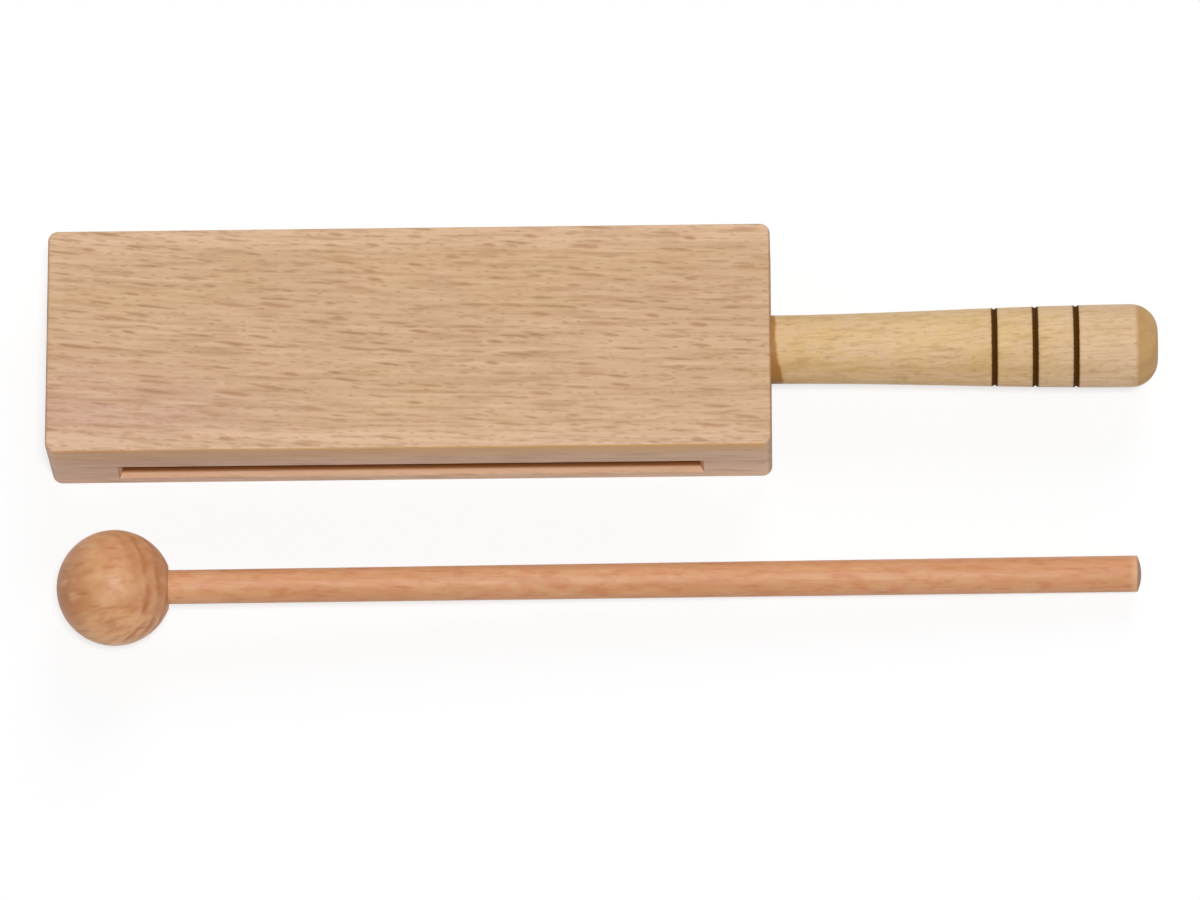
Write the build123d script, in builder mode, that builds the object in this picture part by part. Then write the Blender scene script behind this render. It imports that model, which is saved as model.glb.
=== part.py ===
from build123d import *
from math import asin, atan2, cos, degrees, hypot, radians, sin, sqrt
import os

# Hand-held wood block with a turned handle, and the ball-headed beater that sounds it.
# Millimetres, +Z up. The origin is the middle of the face that the block rests on.
# +X runs along the handle, and the beater lies beside the block, on its -Y side.

# Block
BLOCK_LENGTH = 180.0
BLOCK_WIDTH = 58.0
BLOCK_HEIGHT = 26.0
CORNER_RADIUS = 2.5  # the four upright corners
EDGE_RADIUS = 0.8  # the sanded edges of both broad faces

# Slots, one in each long side, cut by a disc cutter that is fed along the side
SLOT_HEIGHT = 9.0
SLOT_WALL = 4.0  # wood between a slot and the nearer broad face
SLOT_END = 17.0  # wood between a slot's mouth and each end of the block
WEB = 8.0  # wood left between the floors of the two slots
CUTTER_RADIUS = 40.0  # leaves the round ends of the slots
LIP_RADIUS = 0.4

# Handle
HANDLE_LENGTH = 96.3  # from the block's end to the butt
NECK_DIAMETER = 17.1
GRIP_DIAMETER = 20.7
BUTT_RADIUS = 6.7
TENON_DIAMETER = 12.0
TENON_LENGTH = 28.0
TENON_CHAMFER = 1.0

# Rings burned into the handle
RING_COUNT = 3
RING_SPACING = 10.15
RING_TO_BUTT = 20.4  # from the last ring to the end of the handle
RING_WIDTH = 1.2
RING_DEPTH = 0.35

# Beater
BEATER_LENGTH = 268.9
HEAD_DIAMETER = 28.7
HEAD_BACK = 7.4  # wood left behind the stick's hole
HEAD_RIM = 1.0  # width of the flat around the stick's hole
STICK_DIAMETER = 8.45  # inside the head
STICK_BUTT_DIAMETER = 9.05  # the stick widens to this at its butt
STICK_DOME = 1.0  # height of the rounded butt
STICK_CHAMFER = 0.5  # on the end inside the head

# Where the beater lies
BEATER_GAP = 17.4  # clear space between the block and the head
BEATER_INSET = 2.6  # of the head from the block's far end
BEATER_TURN = 0.88  # degrees, the butt towards the block

# Glue room
GLUE_GAP = 0.1  # around the tenon and the stick
GLUE_WELL = 1.0  # beyond the end of the tenon

os.makedirs("parts", exist_ok=True)

# Block
side = BLOCK_WIDTH / 2
slot_depth = (BLOCK_WIDTH - WEB) / 2
slot_length = BLOCK_LENGTH - 2 * SLOT_END
upper_slot_floor = BLOCK_HEIGHT - SLOT_WALL - SLOT_HEIGHT
cutter_axis = side + CUTTER_RADIUS - slot_depth
mouth_half_chord = sqrt(CUTTER_RADIUS**2 - (cutter_axis - side) ** 2)
cutter_feed = slot_length - 2 * mouth_half_chord
handle_seat = (BLOCK_LENGTH / 2, 0, BLOCK_HEIGHT / 2)

with BuildPart() as block:
    Box(BLOCK_LENGTH, BLOCK_WIDTH, BLOCK_HEIGHT, align=(Align.CENTER, Align.CENTER, Align.MIN))
    fillet(block.edges().filter_by(Axis.Z), CORNER_RADIUS)
    fillet(block.faces().filter_by(Axis.Z).edges(), EDGE_RADIUS)

    # The block is turned over between the two cuts, so the slots lie half a turn apart.
    for facing, floor in ((-1, SLOT_WALL), (1, upper_slot_floor)):
        with BuildSketch(Plane.XY.offset(floor)):
            with Locations((0, facing * cutter_axis)):
                SlotCenterToCenter(cutter_feed, 2 * CUTTER_RADIUS)
        extrude(amount=SLOT_HEIGHT, mode=Mode.SUBTRACT)

    with Locations(Plane(handle_seat, z_dir=(1, 0, 0))):
        Hole(TENON_DIAMETER / 2 + GLUE_GAP, TENON_LENGTH + GLUE_WELL)

    long_sides = block.faces().filter_by(Axis.Y).sort_by(Axis.Y)
    for long_side in (long_sides[0], long_sides[-1]):
        fillet(long_side.inner_wires().edges(), LIP_RADIUS)

block.part.label = "block"
export_step(block.part, "parts/block.step")

# Handle
neck = NECK_DIAMETER / 2
grip = GRIP_DIAMETER / 2
tenon = TENON_DIAMETER / 2
swell_length = HANDLE_LENGTH - BUTT_RADIUS
handle_plane = Plane(handle_seat, x_dir=(1, 0, 0), z_dir=(0, -1, 0))
handle_axis = Axis(handle_plane.origin, handle_plane.x_dir)


def swell_radius(distance):
    """Radius of the handle at a distance from the block, before its butt is rounded."""
    share = distance / swell_length
    return neck + (grip - neck) * (3 - 2 * share) * share**2


with BuildPart() as handle:
    with BuildSketch(handle_plane):
        with BuildLine():
            Polyline(
                (HANDLE_LENGTH, 0),
                (-TENON_LENGTH, 0),
                (-TENON_LENGTH, tenon - TENON_CHAMFER),
                (TENON_CHAMFER - TENON_LENGTH, tenon),
                (0, tenon),
                (0, neck),
            )
            # These four points give the same curve as swell_radius.
            Bezier((0, neck), (swell_length / 3, neck), (swell_length * 2 / 3, grip), (swell_length, grip))
            RadiusArc((swell_length, grip), (HANDLE_LENGTH, grip - BUTT_RADIUS), BUTT_RADIUS)
            Line((HANDLE_LENGTH, grip - BUTT_RADIUS), (HANDLE_LENGTH, 0))
        make_face()
    revolve(axis=handle_axis)

    # Each ring's section is drawn twice as tall as the ring is deep, so that it breaks the surface.
    with BuildSketch(handle_plane):
        for ring in range(RING_COUNT):
            middle = HANDLE_LENGTH - RING_TO_BUTT - ring * RING_SPACING
            surface = swell_radius(middle)
            with BuildLine():
                Polyline(
                    (middle, surface - RING_DEPTH),
                    (middle + RING_WIDTH, surface + RING_DEPTH),
                    (middle - RING_WIDTH, surface + RING_DEPTH),
                    close=True,
                )
            make_face()
    revolve(axis=handle_axis, mode=Mode.SUBTRACT)

handle.part.label = "handle"
export_step(handle.part, "parts/handle.step")

# Where the beater lies: on its head and on the rim of its butt, so its axis slopes down to the butt
head = HEAD_DIAMETER / 2
butt = STICK_BUTT_DIAMETER / 2
butt_tip = BEATER_LENGTH - head
butt_rim = butt_tip - STICK_DOME
turn = radians(BEATER_TURN)
slope = asin(head / hypot(butt_rim, butt)) - atan2(butt, butt_rim)
beater_plane = Plane(
    (BEATER_INSET + head - BLOCK_LENGTH / 2, -side - BEATER_GAP - head, head),
    x_dir=(cos(turn) * cos(slope), sin(turn) * cos(slope), -sin(slope)),
    z_dir=(sin(turn), -cos(turn), 0),
)
beater_axis = Axis(beater_plane.origin, beater_plane.x_dir)
print(f"the beater slopes {degrees(slope):.2f} degrees down to its butt")

# Beater head, with its centre at the plane's origin
stick = STICK_DIAMETER / 2
hole = stick + GLUE_GAP
hole_floor = HEAD_BACK - head
flat_radius = hole + HEAD_RIM
flat = sqrt(head**2 - flat_radius**2)

with BuildPart() as beater_head:
    with BuildSketch(beater_plane):
        with BuildLine():
            Polyline((-head, 0), (hole_floor, 0), (hole_floor, hole), (flat, hole), (flat, flat_radius))
            ThreePointArc((flat, flat_radius), (0, head), (-head, 0))
        make_face()
    revolve(axis=beater_axis)

beater_head.part.label = "beater_head"
export_step(beater_head.part, "parts/beater_head.step")

# Beater stick, seated on the floor of the hole and straight as far as the head's flat
dome_radius = (butt**2 + STICK_DOME**2) / (2 * STICK_DOME)

with BuildPart() as beater_stick:
    with BuildSketch(beater_plane):
        with BuildLine():
            Polyline(
                (butt_tip, 0),
                (hole_floor, 0),
                (hole_floor, stick - STICK_CHAMFER),
                (hole_floor + STICK_CHAMFER, stick),
                (flat, stick),
                (butt_rim, butt),
            )
            RadiusArc((butt_rim, butt), (butt_tip, 0), dome_radius)
        make_face()
    revolve(axis=beater_axis)

beater_stick.part.label = "beater_stick"
export_step(beater_stick.part, "parts/beater_stick.step")
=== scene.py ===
from math import cos, hypot, pi, radians, sin

import bpy
from mathutils import Matrix, Vector


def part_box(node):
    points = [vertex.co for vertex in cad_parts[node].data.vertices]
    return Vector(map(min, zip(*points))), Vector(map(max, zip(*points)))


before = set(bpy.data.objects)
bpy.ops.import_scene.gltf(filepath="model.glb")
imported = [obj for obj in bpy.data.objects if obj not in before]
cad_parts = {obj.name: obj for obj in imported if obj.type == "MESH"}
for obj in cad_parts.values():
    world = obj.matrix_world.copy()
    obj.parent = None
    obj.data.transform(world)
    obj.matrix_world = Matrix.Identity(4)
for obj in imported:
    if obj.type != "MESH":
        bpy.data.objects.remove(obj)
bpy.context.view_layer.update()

MM = 0.001


def srgb(red, green, blue):
    """A colour given in the 0 to 255 steps of a picture, as Blender's linear colour."""
    linear = []
    for step in (red, green, blue):
        share = step / 255
        linear.append(share / 12.92 if share <= 0.04045 else ((share + 0.055) / 1.055) ** 2.4)
    return (*linear, 1.0)


WHITE = (1.0, 1.0, 1.0, 1.0)

# Camera
CAMERA_TARGET = Vector((47.27, -25.8, 13.0)) * MM
CAMERA_DISTANCE = 2300 * MM
CAMERA_AZIMUTH = radians(4.78)
CAMERA_ELEVATION = radians(71.9)
CAMERA_ROLL = radians(-5.18)
CAMERA_SENSOR = 36.0
CAMERA_LENS = 277.5
CAMERA_CLIP = (0.05, 50.0)

# Light and floor
LAMPS = {
    "key": {"from": Vector((0.10, -0.24, 1.0)), "level": 0.66, "angle": radians(10)},
    "fill": {"from": Vector((0.25, 0.90, 0.70)), "level": 0.15, "angle": radians(30)},
}
SKY_LEVEL = 0.20
FLOOR_SIZE = 12.0
FLOOR_PALE = 0.88  # how much light the floor throws back at the object
FLOOR_WHITE_SHARE = 0.70  # how far shadows on the floor are lightened

# The middle of a noise or a chance number, which both run from 0 to 1
MIDDLE = 0.5

# Flecks of the wood
FLECK_SCATTER = 0.75  # how unevenly they are spread, 0 to 1
FLECK_SOLID = 0.9  # how far inside its outline a fleck has its full strength, 1 being its middle
FLECK_FAINTEST = 0.3  # strength of the faintest fleck
RAY_START = (0, 0, 0)
DASH_START = (7, 3, 5)
RADIAL_RANGE = (0.6, 0.9)  # how far a face turns to the flat of the rays while the flecks grow fainter

# Where in a season the late wood darkens and where it ends, and the noise that shows it in patches
LATE_RISE = (0.1, 0.7)
LATE_END = (0.7, 1.0)
PATCH_RANGE = (0.35, 0.6)

# Between which levels of its noise each trait of the wood appears
CLOUD_RANGE = (0.34, 0.66)
BLUSH_RANGE = (0.42, 0.68)
LIGHT_RANGE = (0.5, 0.28)
STREAK_RANGE = (0.5, 0.72)
FIBRE_RANGE = (0.4, 0.7)
PORE_RANGE = (0.62, 0.74)
RED_RAY_RANGE = (0.55, 0.95)

# How much rougher a trait makes the wood
FIBRE_ROUGH = 0.16
RAY_ROUGH = -0.06
END_ROUGH = 0.1
MATT_ROUGH = 0.3

# How far a trait stands up from the wood, as a share of the relief's height
FIBRE_HEIGHT = 0.5
RAY_HEIGHT = -0.4
PORE_HEIGHT = -0.35
RELIEF_HEIGHT = 0.05 * MM

WOOD_IOR = 1.5


class Graph:
    """The nodes of a material or a world. Inputs are numbers, vectors, colours or other nodes' outputs."""

    def __init__(self, owner):
        owner.use_nodes = True
        self.tree = owner.node_tree
        self.tree.nodes.clear()

    def feed(self, socket, value):
        """Links an output to a socket, or sets the socket's own value."""
        if isinstance(value, bpy.types.NodeSocket):
            self.tree.links.new(value, socket)
        else:
            socket.default_value = value

    def node(self, kind, inputs, **settings):
        """A new node with its inputs fed."""
        made = self.tree.nodes.new(kind)
        for name, value in settings.items():
            setattr(made, name, value)
        for name, value in inputs.items():
            self.feed(made.inputs[name], value)
        return made

    def math(self, operation, *values):
        return self.node("ShaderNodeMath", dict(enumerate(values)), operation=operation).outputs[0]

    def vector_math(self, operation, *values):
        inputs = dict(enumerate(values))
        return self.node("ShaderNodeVectorMath", inputs, operation=operation).outputs["Vector"]

    def length(self, vector):
        return self.node("ShaderNodeVectorMath", {0: vector}, operation="LENGTH").outputs["Value"]

    def scaled(self, vector, sizes):
        """The vector in units of a feature's size along each axis."""
        return self.vector_math("DIVIDE", vector, sizes)

    def split(self, vector):
        """The vector's X, Y and Z."""
        return self.node("ShaderNodeSeparateXYZ", {"Vector": vector}).outputs

    def join(self, x, y, z):
        return self.node("ShaderNodeCombineXYZ", {"X": x, "Y": y, "Z": z}).outputs["Vector"]

    def smooth(self, value, low, high, low_result=0.0, high_result=1.0):
        """Goes smoothly from one result to the other while the value goes from low to high."""
        inputs = {
            "Value": value,
            "From Min": low,
            "From Max": high,
            "To Min": low_result,
            "To Max": high_result,
        }
        return self.node("ShaderNodeMapRange", inputs, interpolation_type="SMOOTHSTEP").outputs["Result"]

    def fade(self, value, low, high):
        """Goes smoothly from 1 to 0 while the value goes from low to high."""
        return self.smooth(value, low, high, 1.0, 0.0)

    def noise(self, place, size, detail=2.0, roughness=0.5):
        """The outputs of a noise whose features have this size along each axis."""
        inputs = {
            "Vector": self.scaled(place, size),
            "Scale": 1.0,
            "Detail": detail,
            "Roughness": roughness,
        }
        return self.node("ShaderNodeTexNoise", inputs).outputs

    def ripple(self, place, size):
        """A noise from -0.5 to 0.5."""
        return self.math("SUBTRACT", self.noise(place, size)["Fac"], MIDDLE)

    def mix(self, share, first, second):
        """A colour between the first and the second."""
        made = self.node("ShaderNodeMix", {}, data_type="RGBA")
        for name, kind, value in (("Factor", "VALUE", share), ("A", "RGBA", first), ("B", "RGBA", second)):
            self.feed(next(s for s in made.inputs if s.name == name and s.type == kind), value)
        return next(s for s in made.outputs if s.type == "RGBA")

    def tint(self, colour, tint, strength, share):
        """The colour with a tint laid over it."""
        return self.mix(self.math("MULTIPLY", strength, share), colour, tint)


def lens_flecks(graph, place, look, kind, start):
    """Lens-shaped marks of the kind ray or dash, which lie along the grain, one to a cell.

    Gives the marks' strength and a chance number that is the same all over a mark, both from 0 to 1.
    """
    cell = look[kind + "_cell"]
    scaled = graph.scaled(graph.vector_math("ADD", place, start), cell)
    inputs = {"Vector": scaled, "Scale": 1.0, "Randomness": FLECK_SCATTER}
    cells = graph.node("ShaderNodeTexVoronoi", inputs, feature="F1")
    away = graph.vector_math("SUBTRACT", scaled, cells.outputs["Position"])
    depth = graph.math("POWER", graph.split(away)["Z"], 2.0)
    away = graph.split(graph.vector_math("MULTIPLY", away, cell))
    chance = graph.split(cells.outputs["Color"])

    tilt = graph.math("MULTIPLY", graph.math("SUBTRACT", chance["Z"], MIDDLE), look["fleck_lean"])
    sideways = graph.math("MULTIPLY_ADD", away["X"], tilt, away["Y"])
    long = graph.smooth(chance["X"], 0.0, 1.0, *look[kind + "_length"])
    thick = graph.smooth(chance["Y"], 0.0, 1.0, *look[kind + "_thickness"])
    end = graph.math("POWER", graph.math("DIVIDE", away["X"], long), 2.0)
    side = graph.math("DIVIDE", graph.math("ABSOLUTE", sideways), thick)
    body = graph.math("SUBTRACT", 1.0, graph.math("ADD", graph.math("ADD", end, side), depth))
    strength = graph.math("MULTIPLY_ADD", chance["Z"], 1 - FLECK_FAINTEST, FLECK_FAINTEST)
    return graph.math("MULTIPLY", graph.smooth(body, 0.0, FLECK_SOLID), strength), chance["Y"]


def grown_place(graph, place, look, grain, middle):
    """Where a point lies in the tree: millimetres along the grain, around the pith and out from it."""
    inputs = {
        "Vector": graph.vector_math("SUBTRACT", place, middle),
        "Rotation": grain.to_euler(),
        "Scale": (1 / MM, 1 / MM, 1 / MM),
        "Location": look["shift"],
    }
    here = graph.node("ShaderNodeMapping", inputs).outputs["Vector"]

    # Slow waves in the fibres, which also lean across the piece and sweep in a long bow
    wave = graph.noise(here, look["wave_size"])["Color"]
    wave = graph.vector_math("SUBTRACT", wave, (MIDDLE, MIDDLE, MIDDLE))
    axes = graph.split(graph.vector_math("MULTIPLY_ADD", wave, look["wave_height"], here))
    along = axes["X"]
    slope = graph.math("MULTIPLY_ADD", along, look["sweep"], look["lean"])
    aside = graph.math("MULTIPLY_ADD", along, slope, axes["Y"])

    aside = graph.math("SUBTRACT", aside, look["pith"][0])
    level = graph.math("SUBTRACT", axes["Z"], look["pith"][1])
    squares = graph.math("MULTIPLY_ADD", level, level, graph.math("MULTIPLY", aside, aside))
    bearing = graph.math("ARCTAN2", aside, level)
    around = graph.math("MULTIPLY", bearing, hypot(*look["pith"]))
    return graph.join(along, around, graph.math("SQRT", squares))


def growth_rings(graph, grown, look):
    """Late wood, which darkens slowly through each season and stops short.

    Gives how late the wood is and how far that shows on the sides, both from 0 to 1.
    """
    wobble = graph.noise(grown, look["ring_wobble_size"])
    out = graph.split(grown)["Z"]
    radius = graph.math("MULTIPLY_ADD", wobble["Fac"], look["ring_wobble"], out)
    season = graph.math("FRACT", graph.math("DIVIDE", radius, look["ring_spacing"]))
    late = graph.math("MULTIPLY", graph.smooth(season, *LATE_RISE), graph.fade(season, *LATE_END))
    patch = graph.smooth(graph.split(wobble["Color"])["Z"], *PATCH_RANGE)
    return late, graph.math("MULTIPLY", patch, graph.smooth(out, *look["ring_range"]))


def wood(name, look, grain=Matrix.Identity(3), middle=Vector(), ground=None, finish=None):
    """A solid wood: growth rings, rays, fibres and end grain, all cut from one tree.

    Lengths in look are in millimetres, and those of rays and dashes are ranges of half their size.
    grain turns the piece's axes so that X runs along the grain, and middle is the point that they
    start from. ground varies the colour below the grain, and on the head it also paints light on the
    flanks. finish adds what was done to the piece, with painted light and shade at the slots, the
    neck and the stick's butt, and gives its colour and how matt it became, 0 to 1.
    """
    material = bpy.data.materials.new(name)
    graph = Graph(material)
    coordinates = graph.node("ShaderNodeTexCoord", {}).outputs
    place = coordinates["Object"]
    grown = grown_place(graph, place, look, grain, middle)
    late, shown = growth_rings(graph, grown, look)
    rays, ray_kind = lens_flecks(graph, grown, look, "ray", RAY_START)
    dashes, _ = lens_flecks(graph, grown, look, "dash", DASH_START)

    # The flecks are fainter on faces that show the flat of the rays, and end grain has none
    inputs = {"Vector": coordinates["Normal"], "Rotation": grain.to_euler()}
    facing = graph.node("ShaderNodeMapping", inputs, vector_type="NORMAL").outputs["Vector"]
    facing = graph.split(graph.vector_math("ABSOLUTE", facing))
    end_on = graph.smooth(facing["X"], *look["end_range"])
    clear = graph.smooth(facing["Y"], *RADIAL_RANGE, 1.0, look["radial_share"])
    clear = graph.math("MULTIPLY", clear, graph.math("SUBTRACT", 1.0, end_on))
    rays = graph.math("MULTIPLY", rays, clear)
    dashes = graph.math("MULTIPLY", dashes, clear)

    streaks = graph.noise(grown, look["streak_size"])["Fac"]
    fibres = graph.noise(grown, look["fibre_size"], detail=3.0, roughness=0.6)["Fac"]
    pores = graph.smooth(graph.noise(grown, look["pore_size"], detail=1.0)["Fac"], *PORE_RANGE)
    cloud = graph.smooth(graph.noise(grown, look["cloud_size"])["Fac"], *CLOUD_RANGE)
    blush = graph.smooth(graph.noise(grown, look["blush_size"])["Fac"], *BLUSH_RANGE)
    ray_colour = graph.mix(graph.smooth(ray_kind, *RED_RAY_RANGE), look["ray"], look["red_ray"])

    colour = graph.mix(cloud, look["pale"], look["deep"])
    colour = graph.tint(colour, look["blush"], blush, look["blush_share"])
    if ground:
        colour = ground(graph, place, colour)
    traits = (
        ("light", look["light"], graph.smooth(streaks, *LIGHT_RANGE)),
        ("streak", look["streak"], graph.smooth(streaks, *STREAK_RANGE)),
        ("fibre", look["streak"], graph.smooth(fibres, *FIBRE_RANGE)),
        ("late", look["late"], graph.math("MULTIPLY", late, shown)),
        ("pore", look["ray"], pores),
        ("dash", look["ray"], dashes),
        ("ray", ray_colour, rays),
        ("end", look["end"], end_on),
        ("end_late", look["end_late"], graph.math("MULTIPLY", late, end_on)),
    )
    for trait, tint, strength in traits:
        colour = graph.tint(colour, tint, strength, look[trait + "_share"])

    rough = look["roughness"] - FIBRE_ROUGH / 2
    for strength, change in ((fibres, FIBRE_ROUGH), (rays, RAY_ROUGH), (end_on, END_ROUGH)):
        rough = graph.math("MULTIPLY_ADD", strength, change, rough)
    if finish:
        colour, matt = finish(graph, place, colour)
        rough = graph.math("MULTIPLY_ADD", matt, MATT_ROUGH, rough)

    height = 0.0
    for strength, change in ((fibres, FIBRE_HEIGHT), (rays, RAY_HEIGHT), (pores, PORE_HEIGHT)):
        height = graph.math("MULTIPLY_ADD", strength, change, height)
    inputs = {"Height": height, "Strength": look["relief"], "Distance": RELIEF_HEIGHT}
    bump = graph.node("ShaderNodeBump", inputs).outputs["Normal"]

    inputs = {
        "Base Color": colour,
        "Roughness": rough,
        "Normal": bump,
        "IOR": WOOD_IOR,
        "Specular IOR Level": look["gloss"],
        "Coat Weight": look["coat"],
        "Coat Roughness": look["coat_roughness"],
    }
    shader = graph.node("ShaderNodeBsdfPrincipled", inputs).outputs["BSDF"]
    graph.node("ShaderNodeOutputMaterial", {"Surface": shader})
    return material


# The block's wood: it is rosy around the front left corner of the top, and pale along both long sides
BLOCK_RIPPLE_SIZE = (9 * MM, 3 * MM, 3 * MM)
BLUSH = srgb(200, 158, 139)
BLUSH_REACH = (80 * MM, 34 * MM, 60 * MM)
BLUSH_FADE = (0.3, 1.0)  # as a share of its reach
BLUSH_WANDER = 0.5
BLUSH_SHARE = 0.8
SAPWOOD = srgb(224, 186, 153)
SAPWOOD_FADE = (3 * MM, 8 * MM)
SAPWOOD_WANDER = 6 * MM
SAPWOOD_SHARE = 0.7

# The block's front, tinted darker and rosier, with the tint's strength at the left end and at the right
# end
FRONT_TURN = 0.75 * MM  # how far in from the front its own colours reach at the rounded edges
FRONT_ROSE = srgb(194, 147, 122)
FRONT_ROSE_SHARES = (0.5, 0.12)

# The lacquer that ran down the front, with its strength and how fast it fades at the left and right end
RUN_TINT = srgb(211, 160, 94)
RUN_FADE = (2.0 * MM, 11.0 * MM)
RUN_WANDER = 6.0 * MM
RUN_SHARES = (0.5, 0.9)
RUN_SPEEDS = (0.85, 1.4)

# The slots. Nearer than this to an end or a broad face, the block has rounded edges but no slot
SLOT_FROM_END = 4.0 * MM
SLOT_FROM_FACE = 0.9 * MM
# Raw, unlacquered wood near a slot's mouth, painted paler as painted light on the slot floor
RAW_WOOD_PAINTED_LIGHT = srgb(236, 189, 153)
RAW_RANGE = (0.1 * MM, 0.6 * MM)  # how deep in a slot
RAW_SHARE = 0.7
# Painted shade: dark brown deeper in the slots, where the upper lip shades the floor
SLOT_PAINTED_SHADE = srgb(161, 100, 46)
SLOT_PAINTED_SHADE_RANGE = (1.2 * MM, 2.2 * MM)  # how deep in a slot


def block_inside(graph, place):
    """How far a point lies from the nearer end, long side and broad face of the block."""
    low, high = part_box("block")
    away = graph.vector_math("ABSOLUTE", graph.vector_math("SUBTRACT", place, (low + high) / 2))
    return graph.split(graph.vector_math("SUBTRACT", (high - low) / 2, away))


def lengthways(graph, place, values):
    """A number that changes from the block's left end to its right end."""
    low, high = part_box("block")
    return graph.smooth(graph.split(place)["X"], low.x, high.x, *values)


def block_front(graph, place):
    """How far a point belongs to the block's front, from 0 to 1."""
    inside = graph.math("SUBTRACT", graph.split(place)["Y"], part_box("block")[0].y)
    return graph.fade(inside, 0.0, FRONT_TURN)


def block_ground(graph, place, colour):
    """The rosy corner, the pale long sides, and the front that is rosier towards its left end."""
    low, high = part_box("block")
    ripple = graph.ripple(place, BLOCK_RIPPLE_SIZE)
    corner = graph.vector_math("SUBTRACT", place, Vector((low.x, low.y, high.z)))
    away = graph.length(graph.scaled(corner, BLUSH_REACH))
    away = graph.math("MULTIPLY_ADD", ripple, BLUSH_WANDER, away)
    colour = graph.tint(colour, BLUSH, graph.fade(away, *BLUSH_FADE), BLUSH_SHARE)

    inside = block_inside(graph, place)["Y"]
    inside = graph.math("MULTIPLY_ADD", ripple, SAPWOOD_WANDER, inside)
    colour = graph.tint(colour, SAPWOOD, graph.fade(inside, *SAPWOOD_FADE), SAPWOOD_SHARE)

    share = lengthways(graph, place, FRONT_ROSE_SHARES)
    return graph.tint(colour, FRONT_ROSE, block_front(graph, place), share)


def block_finish_and_slot_shading(graph, place, colour):
    """Lacquer that ran yellow over the upper front edge, and matt raw wood in the slots, painted paler
    near the mouth as light and brown deeper in as shade.
    """
    below = graph.math("SUBTRACT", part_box("block")[1].z, graph.split(place)["Z"])
    below = graph.math("MULTIPLY_ADD", graph.ripple(place, BLOCK_RIPPLE_SIZE), RUN_WANDER, below)
    below = graph.math("MULTIPLY", below, lengthways(graph, place, RUN_SPEEDS))
    run = graph.math("MULTIPLY", block_front(graph, place), graph.fade(below, *RUN_FADE))
    colour = graph.tint(colour, RUN_TINT, run, lengthways(graph, place, RUN_SHARES))

    inside = block_inside(graph, place)
    past_end = graph.math("SUBTRACT", inside["X"], SLOT_FROM_END)
    past_face = graph.math("SUBTRACT", inside["Z"], SLOT_FROM_FACE)
    depth = graph.math("MINIMUM", graph.math("MINIMUM", past_end, past_face), inside["Y"])
    raw_and_painted_light = graph.smooth(depth, *RAW_RANGE)
    # Painted light: the slot floor near the mouth is made paler
    colour = graph.tint(colour, RAW_WOOD_PAINTED_LIGHT, raw_and_painted_light, RAW_SHARE)
    # Painted shade: darker brown deeper inside the slot
    return graph.mix(graph.smooth(depth, *SLOT_PAINTED_SHADE_RANGE), colour, SLOT_PAINTED_SHADE), raw_and_painted_light


# The handle's wood, which is rosier near the butt
HANDLE_ROSE = srgb(228, 198, 170)
HANDLE_ROSE_RANGE = (40 * MM, 12 * MM)  # measured from the butt
HANDLE_ROSE_SHARE = 0.55

# The lacquer around the handle's neck with the block's painted shadow over it, and how much further they
# reach at the front
POOL_AND_SHADOW_TINT = srgb(160, 111, 48)
POOL_REACH = 0.9 * MM
POOL_AND_SHADOW_RUN = 2.6 * MM
POOL_RIPPLE_SIZE = (2 * MM, 2 * MM, 2 * MM)
POOL_WANDER = 0.8 * MM
POOL_EDGE = (-0.6 * MM, 0.4 * MM)
POOL_SHARE = 0.9

# The rings burned into the handle, measured from its butt
RING_COUNT = 3
RING_TO_BUTT = 20.4 * MM
RING_SPACING = 10.15 * MM
RING_WIDTH = 1.2 * MM
RING_RIPPLE_SIZE = (0.6 * MM, 0.6 * MM, 0.6 * MM)
RING_WANDER = 0.3 * MM
RING_CHAR = srgb(78, 45, 4)
CHAR_EDGE = (0.5 * RING_WIDTH, 0.8 * RING_WIDTH)
RING_HALO = srgb(150, 100, 50)
HALO_EDGE = (0.6 * RING_WIDTH, 1.4 * RING_WIDTH)
HALO_SHARE = 0.15


def handle_ground(graph, place, colour):
    """Paler, rosier wood towards the butt."""
    left = graph.math("SUBTRACT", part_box("handle")[1].x, graph.split(place)["X"])
    return graph.tint(colour, HANDLE_ROSE, graph.smooth(left, *HANDLE_ROSE_RANGE), HANDLE_ROSE_SHARE)


def neck_lacquer_and_shadow(graph, place, colour):
    """A brown pool of lacquer where the handle enters the block, and a painted shadow of the block that
    makes it wider towards the front.
    """
    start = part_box("block")[1].x
    half_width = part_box("handle")[1].y
    axes = graph.split(place)
    ripple = graph.noise(place, POOL_RIPPLE_SIZE)["Fac"]
    reach = graph.math("MULTIPLY_ADD", ripple, POOL_WANDER, POOL_REACH)
    # Painted shadow: the pool reaches further towards the front, where the block's shadow falls
    forward = graph.math("MAXIMUM", graph.math("DIVIDE", axes["Y"], -half_width), 0.0)
    reach = graph.math("MULTIPLY_ADD", graph.math("POWER", forward, 2.0), POOL_AND_SHADOW_RUN, reach)
    out = graph.math("SUBTRACT", graph.math("SUBTRACT", axes["X"], start), reach)
    return graph.tint(colour, POOL_AND_SHADOW_TINT, graph.fade(out, *POOL_EDGE), POOL_SHARE)


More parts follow.
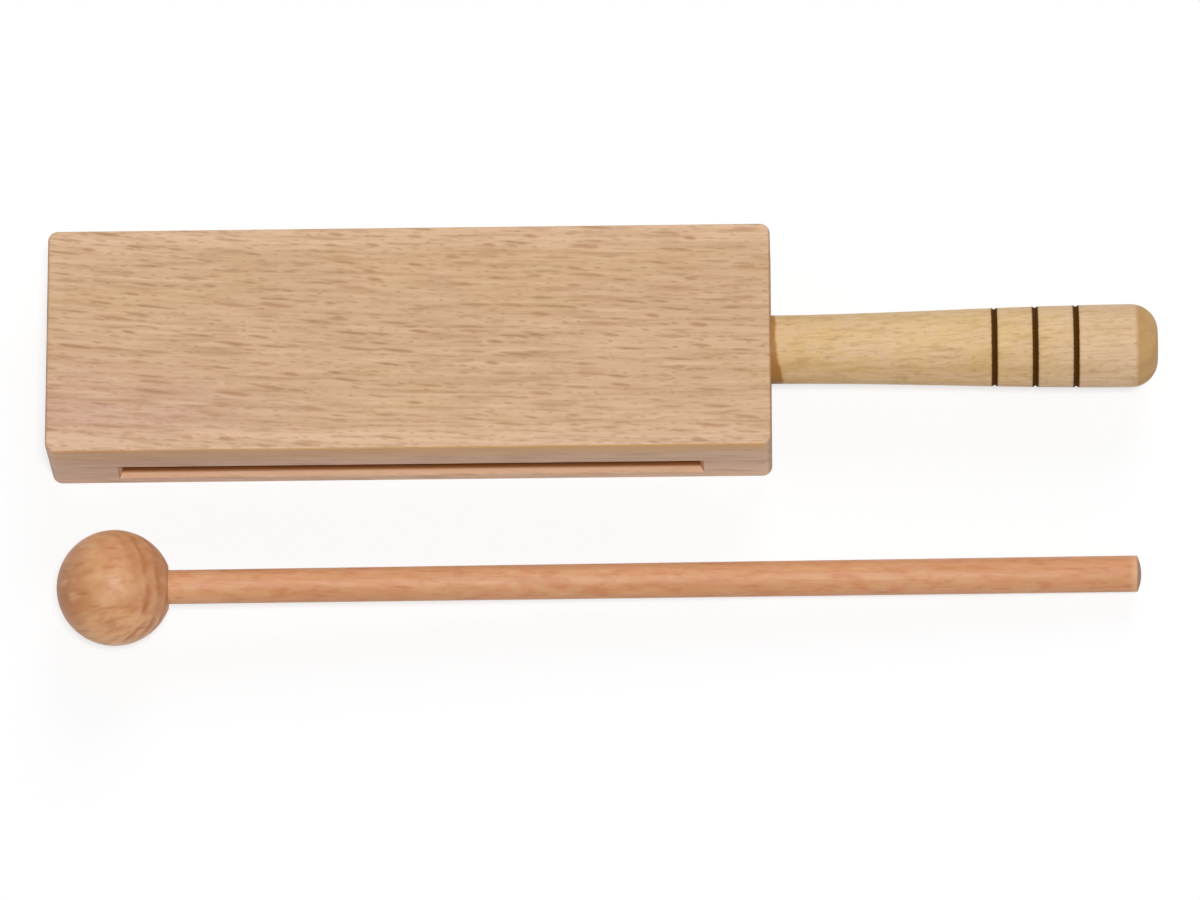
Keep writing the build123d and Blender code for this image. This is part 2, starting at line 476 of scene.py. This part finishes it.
def burned_rings(graph, place, colour):
    """The scorched grooves of the handle, each with a brown halo. Gives the colour and the char."""
    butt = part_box("handle")[1].x
    along = graph.split(place)["X"]
    along = graph.math("MULTIPLY_ADD", graph.ripple(place, RING_RIPPLE_SIZE), RING_WANDER, along)
    nearest = None
    for ring in range(RING_COUNT):
        middle = butt - RING_TO_BUTT - ring * RING_SPACING
        away = graph.math("ABSOLUTE", graph.math("SUBTRACT", along, middle))
        nearest = away if nearest is None else graph.math("MINIMUM", nearest, away)
    colour = graph.tint(colour, RING_HALO, graph.fade(nearest, *HALO_EDGE), HALO_SHARE)
    char = graph.fade(nearest, *CHAR_EDGE)
    return graph.mix(char, colour, RING_CHAR), char


def handle_finish_and_neck_shadow(graph, place, colour):
    """Lacquer and painted shadow at the neck, and burned rings near the butt."""
    return burned_rings(graph, place, neck_lacquer_and_shadow(graph, place, colour))


# The beater's head, whose grain rises from the stick's direction. Starts are shares of its radius
HEAD_GRAIN_RISE = radians(40)
# Painted light that makes the ball's front and back flanks paler
HEAD_FLANK_LIGHT = srgb(240, 188, 138)
HEAD_FLANK_LIGHT_START = 0.4
HEAD_FLANK_LIGHT_SHARE = 0.45
HEAD_BROWN = srgb(168, 100, 50)
HEAD_BROWN_START = -0.1
HEAD_BROWN_SHARE = 0.65


def head_ground_and_flank_light(graph, place, colour):
    """Browner on the side away from the stick, and painted light that makes both flanks paler."""
    low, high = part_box("beater_head")
    radius = (high.z - low.z) / 2
    axes = graph.split(graph.vector_math("SUBTRACT", place, (low + high) / 2))
    # Painted light: the front and back flanks are made paler
    flank = graph.smooth(graph.math("ABSOLUTE", axes["Y"]), HEAD_FLANK_LIGHT_START * radius, radius)
    colour = graph.tint(colour, HEAD_FLANK_LIGHT, flank, HEAD_FLANK_LIGHT_SHARE)
    far = graph.smooth(axes["X"], HEAD_BROWN_START * radius, -radius)
    return graph.tint(colour, HEAD_BROWN, far, HEAD_BROWN_SHARE)


# The beater's stick, where it enters the head and at its butt
STICK_DIAMETER = 8.45 * MM
STICK_BUTT_DIAMETER = 9.05 * MM

# The sealed end of the stick and the painted highlight on the rim behind it, measured from the butt
BUTT_SEALED = srgb(132, 102, 80)
BUTT_SEAL = 1.3 * MM
BUTT_SEAL_FADE = (0.7 * BUTT_SEAL, BUTT_SEAL)
BUTT_SEAL_SHARE = 0.75
BUTT_HIGHLIGHT = srgb(226, 182, 144)
BUTT_HIGHLIGHT_FADE = (BUTT_SEAL, 3.4 * MM)
BUTT_HIGHLIGHT_SHARE = 0.45
STICK_MATT = 0.0  # the butt is as smooth as the rest


def stick_butt_and_highlight(graph, place, colour):
    """The beater's butt: a painted highlight on the rim, then sealed end grain."""
    left = graph.math("SUBTRACT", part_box("beater_stick")[1].x, graph.split(place)["X"])
    # Painted highlight on the rim behind the sealed end
    colour = graph.tint(colour, BUTT_HIGHLIGHT, graph.fade(left, *BUTT_HIGHLIGHT_FADE), BUTT_HIGHLIGHT_SHARE)
    colour = graph.tint(colour, BUTT_SEALED, graph.fade(left, *BUTT_SEAL_FADE), BUTT_SEAL_SHARE)
    return colour, STICK_MATT


BLOCK_LOOK = {
    "shift": (0.0, 0.0, 0.0),
    "wave_size": (45.0, 16.0, 30.0),
    "wave_height": (0.0, 1.8, 0.6),
    "lean": 0.040,
    "sweep": -0.00015,
    "pith": (18.0, -75.0),
    "ring_wobble_size": (90.0, 30.0, 12.0),
    "ring_wobble": 5.0,
    "ring_spacing": 3.4,
    "ring_range": (0.0, 1.0),
    "late": srgb(190, 148, 110),
    "late_share": 0.1,
    "fleck_lean": 0.12,
    "radial_share": 0.15,
    "ray_cell": (10.0, 1.9, 22.0),
    "ray_length": (2.4, 6.5),
    "ray_thickness": (0.36, 0.64),
    "ray": srgb(150, 110, 68),
    "red_ray": srgb(160, 110, 67),
    "ray_share": 0.66,
    "dash_cell": (3.8, 1.1, 14.0),
    "dash_length": (0.9, 2.4),
    "dash_thickness": (0.25, 0.42),
    "dash_share": 0.45,
    "streak_size": (14.0, 0.9, 10.0),
    "streak": srgb(172, 132, 92),
    "streak_share": 0.52,
    "light": srgb(219, 184, 150),
    "light_share": 0.6,
    "fibre_size": (60.0, 0.8, 0.8),
    "fibre_share": 0.36,
    "pore_size": (1.6, 0.13, 0.13),
    "pore_share": 0.1,
    "cloud_size": (95.0, 16.0, 12.0),
    "pale": srgb(209, 172, 135),
    "deep": srgb(206, 168, 128),
    "blush_size": (60.0, 22.0, 20.0),
    "blush": srgb(204, 165, 135),
    "blush_share": 0.25,
    "end": srgb(164, 119, 84),
    "end_range": (0.4, 0.95),
    "end_share": 0.7,
    "end_late": srgb(132, 88, 56),
    "end_late_share": 0.45,
    "relief": 0.35,
    "roughness": 0.5,
    "gloss": 0.4,
    "coat": 0.1,
    "coat_roughness": 0.35,
}

HANDLE_LOOK = BLOCK_LOOK | {
    "shift": (300.0, 40.0, 11.0),
    "wave_size": (40.0, 12.0, 12.0),
    "wave_height": (0.0, 1.2, 1.2),
    "lean": -0.05,
    "sweep": 0.0,
    "pith": (-6.0, -60.0),
    "ring_spacing": 5.0,
    "ring_wobble": 4.0,
    "late": srgb(196, 158, 106),
    "late_share": 0.3,
    "radial_share": 1.0,
    "ray_cell": (4.0, 1.3, 9.0),
    "ray_length": (0.7, 1.7),
    "ray_thickness": (0.2, 0.42),
    "ray": srgb(160, 124, 82),
    "red_ray": srgb(168, 126, 84),
    "ray_share": 0.32,
    "dash_cell": (2.2, 0.8, 5.0),
    "dash_length": (0.5, 1.0),
    "dash_thickness": (0.14, 0.26),
    "dash_share": 0.2,
    "streak_size": (6.0, 1.0, 1.0),
    "streak": srgb(184, 146, 96),
    "streak_share": 0.45,
    "light": srgb(229, 196, 154),
    "fibre_size": (14.0, 0.4, 0.4),
    "fibre_share": 0.3,
    "cloud_size": (40.0, 7.0, 7.0),
    "pale": srgb(226, 193, 143),
    "deep": srgb(221, 186, 131),
    "blush_size": (9.0, 3.2, 3.2),
    "blush": srgb(227, 191, 154),
    "blush_share": 0.7,
    # The handle's end tint spreads far over the rounded butt: end grain, and painted shade where the butt
    # turns away from the light
    "end": srgb(180, 137, 73),
    "end_range": (0.1, 0.3),
    "end_late_share": 0.12,
    "gloss": 0.12,
    "coat": 0.0,
}

STICK_LOOK = BLOCK_LOOK | {
    "shift": (90.0, -15.0, -8.0),
    "wave_size": (24.0, 6.0, 6.0),
    "wave_height": (0.0, 1.6, 1.6),
    "lean": 0.03,
    "sweep": 0.0,
    "pith": (9.0, -48.0),
    "ring_wobble_size": (40.0, 8.0, 6.0),
    "ring_spacing": 2.6,
    "late": srgb(188, 124, 84),
    "late_share": 0.3,
    "fleck_lean": 0.2,
    "radial_share": 1.0,
    "ray_cell": (10.0, 2.2, 5.0),
    "ray_length": (1.8, 3.6),
    "ray_thickness": (0.3, 0.6),
    "ray": srgb(172, 108, 72),
    "red_ray": srgb(188, 106, 68),
    "ray_share": 0.4,
    "dash_share": 0.0,
    "streak_size": (5.5, 1.2, 1.2),
    "streak": srgb(190, 116, 72),
    "streak_share": 0.5,
    "light": srgb(217, 166, 123),
    "light_share": 0.45,
    "fibre_size": (16.0, 0.35, 0.35),
    "fibre_share": 0.25,
    "cloud_size": (30.0, 5.0, 5.0),
    "pale": srgb(214, 159, 115),
    "deep": srgb(209, 149, 101),
    "blush_size": (6.0, 2.2, 2.2),
    "blush": srgb(211, 145, 104),
    "blush_share": 0.7,
    "end": srgb(158, 122, 98),
    "end_share": 0.8,
    "end_late_share": 0.2,
    "relief": 0.2,
    "roughness": 0.52,
    "gloss": 0.35,
    "coat": 0.0,
}

HEAD_LOOK = STICK_LOOK | {
    "shift": (-200.0, 0.0, 0.0),
    "wave_size": (20.0, 9.0, 9.0),
    "pith": (0.0, -42.0),
    "ring_spacing": 4.05,
    "ring_range": (51.0, 46.5),
    "ring_wobble_size": (9.0, 6.0, 6.0),
    "ring_wobble": 3.0,
    "late": srgb(174, 106, 60),
    "late_share": 0.95,
    "ray_cell": (8.0, 3.0, 6.0),
    "ray_length": (2.2, 4.6),
    "ray_thickness": (0.5, 0.95),
    "ray": srgb(170, 101, 56),
    "red_ray": srgb(182, 104, 60),
    "ray_share": 0.66,
    "streak_size": (7.0, 2.2, 2.6),
    "streak": srgb(186, 122, 76),
    "streak_share": 0.6,
    "light": srgb(218, 171, 127),
    "light_share": 0.6,
    "fibre_share": 0.12,
    "pale": srgb(214, 159, 114),
    "deep": srgb(199, 138, 89),
    "blush_size": (8.0, 4.0, 4.0),
    "blush": srgb(200, 134, 88),
    "end": srgb(182, 128, 88),
    "end_range": (0.6, 1.0),
    "end_share": 0.35,
    "end_late_share": 0.0,
    "roughness": 0.48,
    "gloss": 0.42,
}


def stick_direction():
    """The beater's axis from its head to its butt, read from the stick's box."""
    low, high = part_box("beater_stick")
    size = high - low
    ends = (STICK_DIAMETER + STICK_BUTT_DIAMETER) / 2
    return Vector((size.x, size.y - ends, ends - size.z)).normalized()


def dress():
    """Gives every CAD node its wood."""
    along = stick_direction()
    level = Vector((0, 0, 1)).cross(along).normalized()
    upright = along.cross(level)
    stick_grain = Matrix((along, level, upright))
    head_along = along * cos(HEAD_GRAIN_RISE) + upright * sin(HEAD_GRAIN_RISE)
    head_grain = Matrix((head_along, level, head_along.cross(level)))
    low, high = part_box("beater_head")
    head_middle = (low + high) / 2
    materials = {
        "block": wood("block_beech", BLOCK_LOOK, ground=block_ground, finish=block_finish_and_slot_shading),
        "handle": wood("handle_wood", HANDLE_LOOK, ground=handle_ground, finish=handle_finish_and_neck_shadow),
        "beater_head": wood("head_beech", HEAD_LOOK, head_grain, head_middle, ground=head_ground_and_flank_light),
        "beater_stick": wood("stick_beech", STICK_LOOK, grain=stick_grain, finish=stick_butt_and_highlight),
    }
    for node, material in materials.items():
        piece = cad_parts[node]
        piece.data.materials.clear()
        piece.data.materials.append(material)


def background_ray(graph):
    """1 where the camera, a mirror or glass looks straight at a surface, otherwise 0."""
    ray = graph.node("ShaderNodeLightPath", {}).outputs
    mirrored = graph.math("MAXIMUM", ray["Is Glossy Ray"], ray["Is Transmission Ray"])
    return graph.math("MAXIMUM", ray["Is Camera Ray"], mirrored)


def make_floor():
    """A pale table top that looks white, and still takes the shadows."""
    mesh = bpy.data.meshes.new("floor")
    half = FLOOR_SIZE / 2
    corners = [(-half, -half, 0), (half, -half, 0), (half, half, 0), (-half, half, 0)]
    mesh.from_pydata(corners, [], [(0, 1, 2, 3)])
    floor = bpy.data.objects.new("floor", mesh)
    bpy.context.scene.collection.objects.link(floor)

    material = bpy.data.materials.new("floor_white")
    graph = Graph(material)
    seen = background_ray(graph)
    tone = graph.mix(seen, (FLOOR_PALE, FLOOR_PALE, FLOOR_PALE, 1.0), WHITE)
    matt = graph.node("ShaderNodeBsdfDiffuse", {"Color": tone}).outputs["BSDF"]
    white = graph.node("ShaderNodeEmission", {"Color": WHITE, "Strength": 1.0}).outputs["Emission"]
    share = graph.math("MULTIPLY", seen, FLOOR_WHITE_SHARE)
    shader = graph.node("ShaderNodeMixShader", {0: share, 1: matt, 2: white}).outputs["Shader"]
    graph.node("ShaderNodeOutputMaterial", {"Surface": shader})
    mesh.materials.append(material)


def make_light():
    """A soft lamp above the front, a low one behind and an even sky that looks white."""
    for name, lamp in LAMPS.items():
        direction = lamp["from"].normalized()
        data = bpy.data.lights.new(name, "SUN")
        data.energy = lamp["level"] * pi / direction.z
        data.angle = lamp["angle"]
        made = bpy.data.objects.new(name, data)
        made.rotation_mode = "QUATERNION"
        made.rotation_quaternion = direction.to_track_quat("Z", "Y")
        bpy.context.scene.collection.objects.link(made)

    world = bpy.data.worlds.new("studio")
    graph = Graph(world)
    level = graph.smooth(background_ray(graph), 0.0, 1.0, SKY_LEVEL, 1.0)
    sky = graph.node("ShaderNodeBackground", {"Color": WHITE, "Strength": level}).outputs["Background"]
    graph.node("ShaderNodeOutputWorld", {"Surface": sky})
    bpy.context.scene.world = world


def make_camera():
    """The photograph's viewpoint."""
    back = Vector((
        sin(CAMERA_AZIMUTH) * cos(CAMERA_ELEVATION),
        -cos(CAMERA_AZIMUTH) * cos(CAMERA_ELEVATION),
        sin(CAMERA_ELEVATION),
    ))
    level = Vector((cos(CAMERA_AZIMUTH), sin(CAMERA_AZIMUTH), 0))
    upright = back.cross(level)
    right = level * cos(CAMERA_ROLL) + upright * sin(CAMERA_ROLL)
    up = upright * cos(CAMERA_ROLL) - level * sin(CAMERA_ROLL)
    data = bpy.data.cameras.new("camera")
    data.sensor_fit = "HORIZONTAL"
    data.sensor_width = CAMERA_SENSOR
    data.lens = CAMERA_LENS
    data.clip_start, data.clip_end = CAMERA_CLIP
    camera = bpy.data.objects.new("camera", data)
    place = Matrix((right, up, back)).transposed().to_4x4()
    place.translation = CAMERA_TARGET + back * CAMERA_DISTANCE
    camera.matrix_world = place
    bpy.context.scene.collection.objects.link(camera)
    bpy.context.scene.camera = camera


make_camera()
make_light()
make_floor()
dress()
bpy.context.scene.view_settings.view_transform = "Standard"
